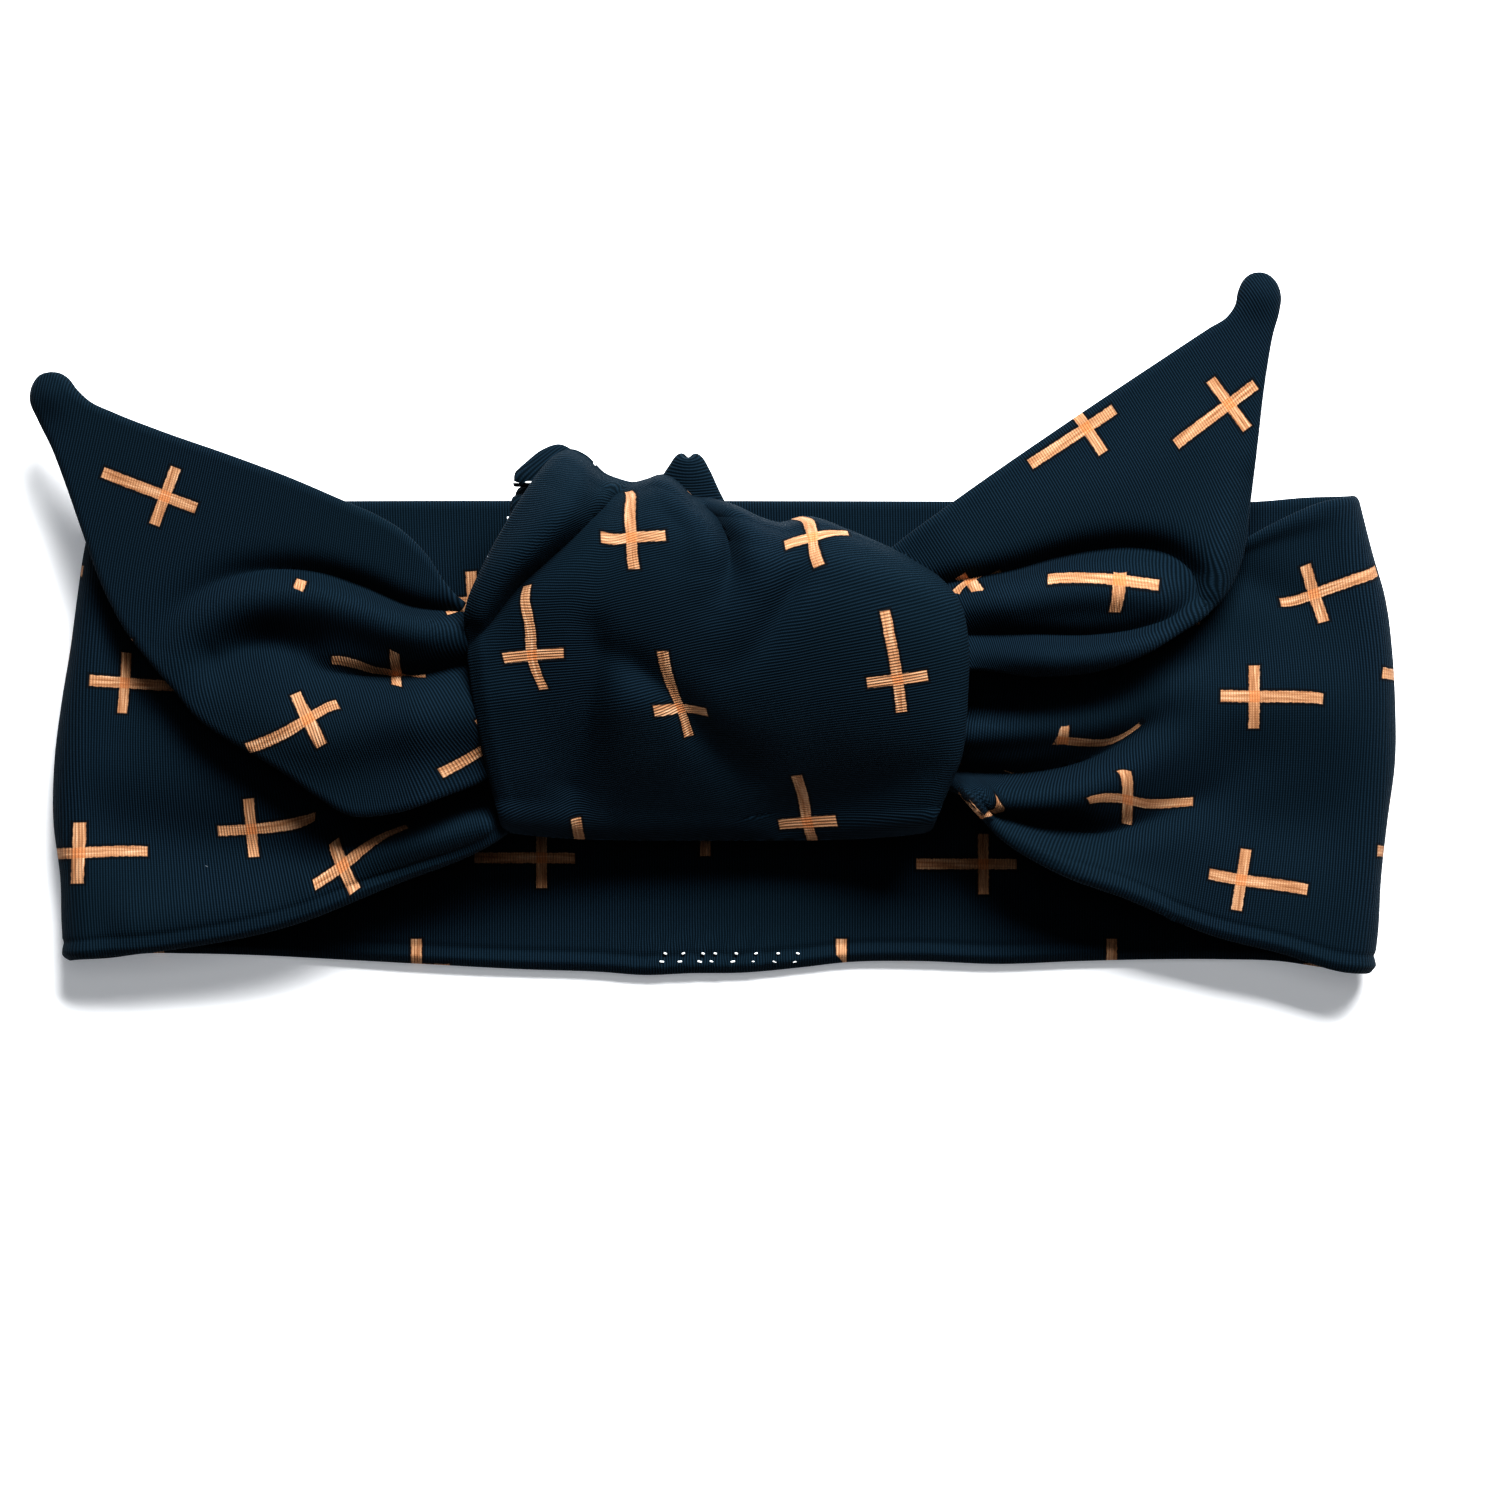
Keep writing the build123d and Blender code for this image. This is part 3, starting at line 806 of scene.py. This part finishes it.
wrap_crosses = (
    (-15.4, 32.4, 108, 3, 1.5, -17),
    (-32.3, 13.1, 93, 2, 2.0, 3),
    (-7.7, 4.4, 102, 2, 1.0, -16),
    (29.0, 9.1, 97, 2, 0.0),
    (14.8, 32.2, 112, 3, 0.5),
    (14.2, -15.0, 100, 1, 0.5),
    (-25.5, -14.5, 98, 1.5, 1.5),
)
wrap = jersey_tube(
    "knot_wrap",
    wrap_middle,
    rows=300,
    columns=150,
    thick=2.0,
    crosses=wrap_crosses,
    ends="ring",
    swallowed=((-35, -5, 7.5), (-29, 48, 7), (-13, -20, 7)),
)
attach(wrap, "knot")
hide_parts("knot_wrap_outer_leaf", "knot_wrap_lining_leaf")


# ---------------------------------------------------------------- the strands inside the knot
# The two lengths that the wrap goes round. Each comes in from one side's front, climbs across the other
# and leaves on the far side as an ear, squeezed to a thick rope of folded jersey.
def strand_middle(points, width):
    def middle(s, t):
        core = along_path(points, s)
        spread = width * np.sqrt(np.clip(1 - (1.25 * (s - 0.5)) ** 2, 0.3, 1))
        z = core[..., 2] + 0.8 * np.sin(t * 19 + s * 3)
        return np.stack([core[..., 0], core[..., 1] + (t - 0.5) * spread, z], axis=-1)

    return middle


for hand, points in (
    ("left", ((-38, -3, 16.0), (-20, 1, 14.4), (4, 8, 16.6), (24, 20, 23.0), (31, 24, 25.0))),
    ("right", ((38, 0, 16.0), (20, 3, 15.0), (-4, 9, 20.4), (-26, 8, 23.6), (-38, 7, 24.6))),
):
    strand = jersey_tube(
        f"{hand}_strand",
        strand_middle(points, 16),
        rows=60,
        columns=60,
        thick=5.0,
        crosses=((0, 6, 4, 3, 0.5),),
        edge=3.0,
        ends=("round", "round"),
    )
    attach(strand, "knot")
    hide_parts(f"knot_{hand}_strand")

# ---------------------------------------------------------------- tucked corners behind the wrap
# Two folded corners of the strands that stand out past the wrap's crown. The left one is folded over
# twice, and under its upper flap the end of the strip's seam shows, held by white thread.
# Each fold is given by its two long edges.
tucks = {
    "left": (
        (
            (
                (-26, 14, 14), (-34, 24, 15), (-38.4, 30.5, 15.6), (-36.2, 34.5, 16), (-35.2, 37.5, 16),
                (-34.8, 41.4, 16.4),
            ),
            (
                (-14, 22, 16), (-19, 34, 18), (-23.5, 42, 18.5), (-26.2, 46.0, 19), (-28.6, 46.5, 18.6),
                (-31.4, 45.0, 18),
            ),
        ),
        (
            ((-30, 13, 15), (-38.4, 20, 16.5), (-41.0, 25.6, 17), (-39.2, 30.8, 17.5), (-37.0, 34.0, 17.8)),
            ((-25, 17, 17.5), (-31, 24, 19.4), (-32, 29, 19.8), (-32.4, 32, 19.8), (-33.2, 34.6, 19.4)),
        ),
        (
            ((-36.6, 36.4, 18.2), (-34, 36.2, 19.4), (-29, 36.0, 19.6)),
            ((-36.0, 39.8, 18.2), (-33.8, 40.4, 19.4), (-29, 40.6, 19.6)),
        ),
        (
            ((-36.0, 42.0, 19.8), (-33.6, 41.7, 21.0), (-30, 41.8, 21.6), (-24, 41.0, 21.2)),
            (
                (-35.2, 43.2, 19.6), (-33.2, 45.6, 20.4), (-30.6, 47.9, 20.6), (-28.2, 48.7, 20.6),
                (-25.0, 46.8, 20.6),
            ),
        ),
    ),
    "right": (
        (
            (
                (-15, 28, 16), (-13.5, 37, 18), (-11.4, 41.8, 19), (-9.2, 44.6, 19.5), (-7.6, 46.1, 19.5),
                (-6.3, 46.6, 19.5),
            ),
            (
                (4, 26, 16), (1.4, 36, 18), (-1.0, 40.6, 19), (-2.8, 43.8, 19.5), (-4.6, 45.9, 19.5),
                (-6.1, 46.6, 19.5),
            ),
        ),
    ),
}
tuck_crosses = {"left": ((-30, 40, 130, 2, 0.4),), "right": ((-7, 40, 90, 2, 0.4),)}


def tuck_middle(left_edge, right_edge):
    def middle(s, t):
        left = along_path(left_edge, s)
        right = along_path(right_edge, s)
        place = left + (right - left) * t[..., None]
        bulge = min(1.8, 0.16 * np.linalg.norm(right - left, axis=-1).mean())
        place[..., 2] += bulge * np.sin(math.pi * t)
        return place

    return middle


def joined(name, pieces):
    """Pieces of jersey gathered into one, as a folded corner is."""
    shape = bmesh.new()
    for piece in pieces:
        shape.from_mesh(piece.data)
        bpy.data.objects.remove(piece)
    return finished(name, shape, jersey)


for hand, folds in tucks.items():
    made = []
    for number, (left_edge, right_edge) in enumerate(folds):
        thick = 3.6 if number == 0 else 2.6
        made.append(
            jersey_tube(
                f"{hand}_fold_{number}",
                tuck_middle(left_edge, right_edge),
                rows=60,
                columns=40,
                thick=thick,
                crosses=tuck_crosses[hand],
                edge=thick / 2,
                ends=("round", "round"),
                swallowed=((-33, 35, 25), (-7, 38, 20)),
            )
        )
    tuck = joined(f"{hand}_tuck", made)
    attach(tuck, "knot")
    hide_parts(f"knot_{hand}_tuck")


# ---------------------------------------------------------------- ears
# The strip's two ends, cut to points. Each leaves the knot under the edge of the wrap, swells to its full
# width with a rolled fold down it, and narrows to a small knob where the seams meet at the tip.
knot_side_z = node_box("left_ear_front_leaf")[1][2] - 2.0
EAR_FALL = 0.177  # how fast an ear's middle sinks away from the knot

ear_outlines = {
    "left": {
        "low": (
            (-34, -2), (-41.1, -8.4), (-47.2, -10.9), (-56.4, -13.9), (-63.7, -14.2), (-68.6, -11.5),
            (-75.3, -6.8), (-81.4, -3.2), (-85.7, -0.7), (-90, 2.5), (-93.6, 6.8), (-97.9, 11.7),
            (-102.2, 17.2), (-105.8, 23.9), (-109.5, 33.7), (-112.5, 42.2), (-115.0, 48.6), (-117.4, 53.4),
            (-118.7, 56.6), (-118.3, 59.2), (-116.9, 61.0), (-115.1, 61.5),
        ),
        "high": (
            (-34, 17), (-42.5, 20.5), (-47.2, 25.1), (-50.3, 29.8), (-54.6, 34.1), (-59.4, 37.0),
            (-64.3, 39.1), (-74.1, 43.3), (-83.9, 47.0), (-96.1, 51.3), (-104.5, 54.6), (-108.3, 56.4),
            (-110.6, 58.5), (-112.1, 60.4), (-113.6, 61.3), (-115.1, 61.5),
        ),
    },
    "right": {
        "low": (
            (34, 7.5), (41.1, 10.2), (53.8, 9.6), (63.4, 10.6), (71, 13.2), (77.4, 16.8), (81.8, 19.8),
            (84.8, 22.9), (86.9, 26.4), (88.2, 29.9), (89.6, 39.4), (90.7, 48.2), (92.4, 61.4), (93.7, 68.3),
            (94.7, 71.8), (95.0, 74.4), (94.2, 76.8), (92.6, 78.2), (91.1, 78.5),
        ),
        "high": (
            (20, 24), (28.3, 31.3), (39.8, 39.8), (58.2, 52.6), (75.8, 64.4), (82.6, 68.9), (85.7, 70.9),
            (87.1, 73.0), (87.6, 75.3), (88.6, 77.3), (89.9, 78.3), (91.1, 78.5),
        ),
    },
}
ear_folds = {
    "left": (
        (
            (-38, 19.6, -2.8, 1.6, 1.5), (-44.2, 20.2, -3.4, 1.8, 1.7), (-53.3, 21.2, -3.8, 2.0),
            (-61.5, 24.6, -3.8, 2.2), (-70, 27.0, -3.2, 2.6, 2.4), (-78.3, 27.2, -2.6, 3.0, 2.6),
            (-86, 25.2, -1.8, 3.4, 3.0), (-92.5, 20.8, -1.0, 3.6, 3.0), (-96, 15, -0.4, 3),
        ),
        (
            (-38, 16.2, 3.0, 3.0, 2.0), (-44.2, 16.6, 3.8, 3.4, 2.0), (-53.3, 17.4, 4.2, 3.8, 2.2),
            (-62.5, 20.6, 4.2, 4.4, 2.4), (-70, 23.0, 3.6, 4.6, 2.6), (-78.3, 23.0, 3.0, 4.8, 2.8),
            (-85, 21.2, 2.2, 5, 3.0), (-90.5, 17.8, 1.4, 5, 3.2), (-93.5, 13, 0.7, 5, 4),
        ),
        (
            (-36, 12.0, -3.6, 2.0), (-44.2, 11.4, -4.2, 2.0), (-51.5, 9.6, -4.2, 2.2),
            (-59.4, 9.2, -3.8, 2.4), (-65.5, 9.9, -2.6, 2.6), (-72, 11.0, -0.8, 3),
        ),
        (
            (-38, 3.0, 2.6, 4), (-46, 2.2, 3.4, 5.0, 5.2), (-56.4, 1.8, 3.6, 5.6, 6),
            (-68.6, -0.5, 2.8, 5.6, 6), (-77.8, 2.5, 1.6, 6), (-86, 6, 0.6, 6),
        ),
        ((-71, 14.4, -2.0, 3.4, 3.6), (-79, 15.4, -3.2, 4.2), (-86, 12.4, -2.2, 4.6)),
    ),
    "right": (
        (
            (34, 24.5, -3.6, 1.8), (41, 25.8, -4.8, 2.0, 1.8), (49, 27.4, -5.0, 2.2, 1.9),
            (56.5, 29.6, -5.4, 2.3, 2.0), (62.6, 30.8, -5.2, 2.5, 2.2), (69.6, 31.3, -4.9, 2.6, 2.4),
            (75.8, 30.0, -4.4, 2.7, 2.4), (79.6, 26.8, -3.4, 2.6, 2.2), (80.8, 22.8, -2.0, 2.2, 1.8),
        ),
        (
            (40, 20.8, 2.2, 2.4), (49.4, 22.2, 2.8, 2.9, 2.8), (58.2, 23.4, 3.0, 3.3, 3.0),
            (67, 23.8, 2.8, 3.4, 3.2), (73.4, 23.2, 1.6, 3),
        ),
        (
            (40, 16.2, -2.6, 1.6, 1.5), (52, 16.4, -3.0, 1.8, 1.6), (62.6, 16.2, -3.0, 1.9, 1.7),
            (70.5, 17.2, -2.8, 2.0, 1.8), (76, 19.2, -2.2, 2.2, 2.0), (79.4, 22.6, -1.4, 2.2, 2.0),
            (80.4, 26.4, -0.6, 2.2),
        ),
        (
            (42, 12.8, 1.8, 2.2, 2.4), (55, 12.4, 2.6, 2.2, 2.4), (66, 13.4, 2.8, 2.3, 2.6),
            (74, 15.8, 2.6, 2.5, 2.8), (79.8, 19.6, 2.4, 2.8, 3.2), (83.2, 24.6, 2.1, 3.0, 3.4),
            (84.6, 30, 1.5, 3.2, 3.4), (85.4, 36, 0.8, 3.2, 3.0), (87, 46, 0.2, 3),
        ),
        (
            (44, 8.8, -1.2, 2), (60, 9.2, -1.4, 2), (72, 12.6, -2.0, 2.4), (81, 17.8, -3.2, 3),
            (87, 25, -3.8, 3.6), (89, 32, -2.6, 3.4), (90, 42, -1.0, 3),
        ),
        ((50, 37, 0.7, 6), (66, 42, 0.9, 7), (78, 50, 0.6, 6)),
    ),
}
ear_tips = {"left": (-115.0, 57.8, 3.7), "right": (91.2, 74.6, 3.8)}


def ear_middle(hand):
    outline = ear_outlines[hand]

    def middle(s, t):
        low = along_path(outline["low"], s)
        high = along_path(outline["high"], s)
        place = low + (high - low) * t[..., None]
        x, y = place[..., 0], place[..., 1]
        if hand == "left":
            away = -44 - x
        else:
            away = (x - 35.2) * 0.775 + (y - 24) * 0.622
        z = knot_side_z - EAR_FALL * np.clip(away, -4, 200)
        tuck_in = 1 - smooth_step(away, -3, 9)
        z = z - tuck_in * (2.2 + 2.8 * smooth_step(-y, -6, 8) * (hand == "left"))
        z = z + pleats(x, y, ear_folds[hand]) * (1 - 0.45 * tuck_in)
        return np.stack([x, y, z], axis=-1)

    return middle


def ear_thick(hand):
    tip_x, tip_y, tip_radius = ear_tips[hand]

    def thick(s, t, surface):
        knob = np.hypot(surface[..., 0] - tip_x, surface[..., 1] - tip_y)
        return 2.1 + 3.0 * np.exp(-((knob / tip_radius) ** 2))

    return thick


ear_crosses = {
    "left": (
        (-95.1, 40.1, 159, 4, 0.0),
        (-70.4, 1.9, 204, 3, 1.5),
        (-73.0, 21.0, 160, 3, 0.5),
        (-55.5, 10.6, 174, 2, 1.0),
        (-38.7, -1.4, 210, 1, 1.5),
    ),
    "right": (
        (85.7, 55.7, 216.6, 0, 1.0),
        (61.3, 51.5, 213.4, 1, 0.5),
        (66.6, 25.2, 182, 1, 1.5),
        (41.6, 24.9, 222, 2, 1.0),
    ),
}
ear_swallowed = {
    "left": (
        (-75, 17.0, 7.5), (-84, 23, 8), (-79, 27.5, 6), (-66, 20, 6), (-54, 28, 9), (-60, 38, 8),
        (-97, 10, 4), (-115, 57, 6),
    ),
    "right": (
        (57, 31.0, 4.0), (62, 31.0, 4.0), (67, 31.0, 4.0), (72, 31.0, 4.0), (43.5, 17.5, 6.3), (38, 18, 5.5),
        (40, 12, 6), (62, 13, 6), (74, 14, 7), (91, 75, 6),
    ),
}
for hand in ("left", "right"):
    ear = jersey_tube(
        f"{hand}_ear",
        ear_middle(hand),
        rows=200,
        columns=130,
        thick=ear_thick(hand),
        crosses=ear_crosses[hand],
        ends=("round", "round"),
        swallowed=ear_swallowed[hand],
        still=0.5 if hand == "left" else 1.0,
    )
    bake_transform(ear)
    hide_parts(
        f"{hand}_ear_front_leaf", f"{hand}_ear_back_leaf", f"{hand}_ear_seam_allowance"
    )

# ---------------------------------------------------------------- white thread
# Hand stitches in white polyester thread: the ones that close the gap in the lower seam through which
# the strip was turned right side out, and the few that show where the left tuck's seam ends.


def white_thread():
    material, shader, _ = new_material("white_thread")
    shader.inputs["Base Color"].default_value = (0.78, 0.80, 0.80, 1)
    shader.inputs["Roughness"].default_value = 0.55
    return material


thread = white_thread()


def stitches(name, ends, radius):
    """Short bars of thread between pairs of points, in millimetres, bowed a little upwards."""
    shape = bmesh.new()
    for start, end in ends:
        start, end = np.array(start, float), np.array(end, float)
        made = bmesh.ops.create_uvsphere(shape, u_segments=10, v_segments=12, radius=1.0)["verts"]
        long = np.linalg.norm(end - start)
        along = (end - start) / long
        side = np.cross(along, (0, 0, 1.0))
        side /= np.linalg.norm(side)
        up = np.cross(side, along)
        for vert in made:
            share = vert.co.z
            round_off = math.sqrt(max(0.0, 1 - share**8)) / max(math.sqrt(max(1e-9, 1 - share**2)), 1e-3)
            spot = (start + end) / 2 + along * share * long / 2
            spot = spot + (side * vert.co.x + up * vert.co.y) * radius * round_off
            spot[2] += 0.35 * radius * (1 - share**2)
            vert.co = spot * MM
    bmesh.ops.recalc_face_normals(shape, faces=shape.faces)
    return finished(name, shape, thread)


turning = []
grid_s, grid_t = np.meshgrid(np.linspace(0.4, 0.6, 200), np.linspace(0, 0.2, 60))
back_places = back_middle(grid_s, grid_t).reshape(-1, 3)
for x in (-10.8, -7.7, -4.3, -2.2, 1.4, 4.8, 8.6, 12.0):
    for offset, y, half_long in ((-0.1, -39.5, 0.42), (0.5, -38.1, 0.3)):
        nearest = np.argmin(np.hypot(back_places[:, 0] - x, back_places[:, 1] - y))
        z = back_places[nearest, 2] + STRIP_THICK / 2 + 0.08
        slope = 0.12 * math.sin(3 * x + y)
        turning.append(((x + offset - half_long, y - slope, z), (x + offset + half_long, y + slope, z)))
gap_stitches = stitches("gap_thread", turning, 0.2)
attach(gap_stitches, "band")
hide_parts("turning_gap_stitches")

tuck_stitches = stitches(
    "tuck_thread",
    (
        ((-36.1, 42.3, 21.4), (-34.6, 42.3, 22.1)),
        ((-33.9, 42.3, 22.5), (-32.6, 42.3, 22.9)),
        ((-32.0, 42.2, 23.1), (-31.2, 42.3, 23.3)),
        ((-36.9, 36.6, 19.6), (-36.6, 35.2, 19.4)),
    ),
    0.22,
)
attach(tuck_stitches, "knot")
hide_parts("knot_seam_stitches")

# ---------------------------------------------------------------- table, light and camera
# A plain pale light table, glowing a little, under one broad soft light that comes from beyond the top
# edge, and a weak overall light. The camera looks straight down.
table_material, table_shader, _ = new_material("table")
table_shader.inputs["Base Color"].default_value = (0.86, 0.87, 0.88, 1)
table_shader.inputs["Roughness"].default_value = 0.9
table_shader.inputs["Emission Color"].default_value = (0.92, 0.95, 1.0, 1)
table_shader.inputs["Emission Strength"].default_value = 0.22
floor_shape = bmesh.new()
bmesh.ops.create_grid(floor_shape, x_segments=1, y_segments=1, size=3.0)
floor = finished("table", floor_shape, table_material)
floor.location.z = -0.0002


def area_light(name, place, size, power):
    """A soft rectangular light, aimed at the middle of the table."""
    light = bpy.data.lights.new(name, "AREA")
    light.shape = "RECTANGLE"
    light.size, light.size_y = size
    light.energy = power
    made = bpy.data.objects.new(name, light)
    bpy.context.collection.objects.link(made)
    made.location = place
    aim = 0.0 - np.array(place, float)
    made.rotation_euler = (
        math.atan2(math.hypot(aim[0], aim[1]), -aim[2]), 0, math.atan2(-aim[0], aim[1])
    )


area_light("key", (0.30, 0.94, 0.99), (0.8, 0.5), 45)
area_light("fill", (0.0, 0.3, 2.0), (0.9, 0.9), 4.2)

world = bpy.data.worlds.new("room")
world.use_nodes = True
world.node_tree.nodes["Background"].inputs["Color"].default_value = (0.93, 0.96, 1.0, 1)
world.node_tree.nodes["Background"].inputs["Strength"].default_value = 0.022
bpy.context.scene.world = world

camera_data = bpy.data.cameras.new("camera")
camera_data.lens = 200
camera_data.sensor_width = 36
camera = bpy.data.objects.new("camera", camera_data)
bpy.context.collection.objects.link(camera)
frame_width = 0.2563  # seen across at sharp_height over the table
sharp_height = 0.012
camera_height = sharp_height + frame_width * camera_data.lens / camera_data.sensor_width
camera.location = (0.00427, -0.00308, camera_height)
bpy.context.scene.camera = camera
bpy.context.scene.view_settings.view_transform = "Standard"
bpy.context.scene.view_settings.look = "High Contrast"
